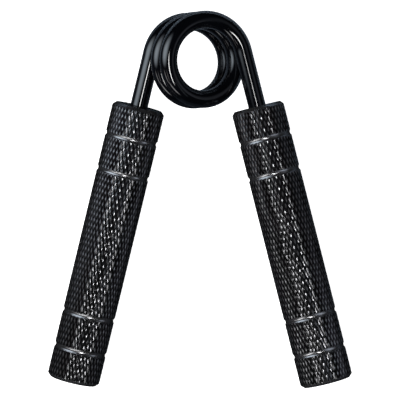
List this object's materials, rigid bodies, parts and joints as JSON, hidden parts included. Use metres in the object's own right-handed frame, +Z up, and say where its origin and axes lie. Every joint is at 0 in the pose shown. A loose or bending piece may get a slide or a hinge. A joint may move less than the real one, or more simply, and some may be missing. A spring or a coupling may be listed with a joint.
{
  "type": "hand grip strengthener",
  "caption": "Hand grip strengthener: a close-wound torsion spring of round wire joins two knurled, grooved metal handles that are squeezed together in one hand.",
  "frame": {"origin": "on the table, under the middle of the part's box as it lies at rest", "axes": "+Z up from the table, +Y from the handles' free ends towards the coil, +X towards the right handle"},
  "size_m": [0.1442, 0.1772, 0.0404],
  "materials": {
    "spring_gloss_black": "gloss black coating over round spring-steel wire",
    "handle_black_anodised": "black anodised, diamond knurled, with smooth polished grooves"
  },
  "bodies": {
    "left_side": {"left_handle": "handle_black_anodised", "torsion_spring": "spring_gloss_black"},
    "right_side": {"right_handle": "handle_black_anodised"}
  },
  "joints": [
    {"name": "squeeze", "type": "hinge", "parent": "left_side", "child": "right_side", "pos_m": [0, 0.06565, 0.02], "axis": [0, 0.05, -0.9987], "range_deg": [0, 34.5], "stiffness_Nm_per_rad": 169, "deforming": ["torsion_spring"]}
  ]
}
